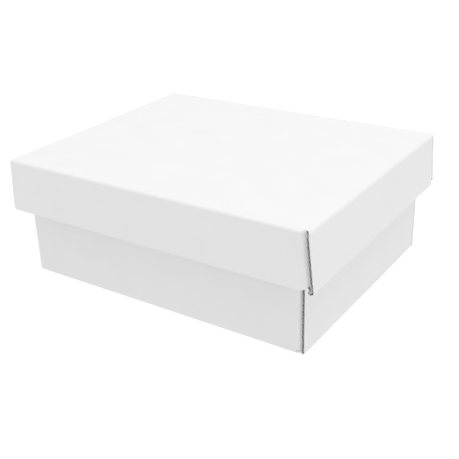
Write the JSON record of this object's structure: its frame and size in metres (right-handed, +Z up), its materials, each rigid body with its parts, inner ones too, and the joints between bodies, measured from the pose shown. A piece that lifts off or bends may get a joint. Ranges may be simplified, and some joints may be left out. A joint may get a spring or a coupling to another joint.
{
  "type": "jewelry gift box",
  "caption": "Plain white corrugated gift box: a folded roll-end tray with a lift-off roll-end lid and a loose velvet-topped jewelry pad inside.",
  "frame": {"origin": "centre of the base's underside, on the surface that the box stands on", "axes": "+X along the box's length towards the right end wall, +Y from the front wall to the back wall, +Z up, the way the lid lifts off"},
  "size_m": [0.1842, 0.1462, 0.0676],
  "materials": {
    "white_board": "matte",
    "white_board_inner": "matte",
    "pad_foam": "matte",
    "pad_velvet": "matte"
  },
  "bodies": {
    "base": {"base_bottom": "white_board", "base_front_wall": "white_board", "base_back_wall": "white_board", "base_left_outer_wall": "white_board", "base_left_rim": "white_board", "base_left_inner_wall": "white_board_inner", "base_right_outer_wall": "white_board", "base_right_rim": "white_board", "base_right_inner_wall": "white_board_inner", "base_front_left_tab": "white_board_inner", "base_front_right_tab": "white_board_inner", "base_back_left_tab": "white_board_inner", "base_back_right_tab": "white_board_inner"},
    "lid": {"lid_top": "white_board", "lid_front_wall": "white_board", "lid_back_wall": "white_board", "lid_left_outer_wall": "white_board", "lid_left_rim": "white_board", "lid_left_inner_wall": "white_board_inner", "lid_right_outer_wall": "white_board", "lid_right_rim": "white_board", "lid_right_inner_wall": "white_board_inner", "lid_front_left_tab": "white_board_inner", "lid_front_right_tab": "white_board_inner", "lid_back_left_tab": "white_board_inner", "lid_back_right_tab": "white_board_inner"},
    "pad": {"pad_foam": "pad_foam", "pad_velvet": "pad_velvet"}
  },
  "joints": [
    {"name": "lid_lift", "type": "slide", "parent": "base", "child": "lid", "axis": [0, 0, 1], "range_m": [0, 0.1]},
    {"name": "pad_lift", "type": "slide", "parent": "base", "child": "pad", "axis": [0, 0, 1], "range_m": [0, 0.04]}
  ]
}
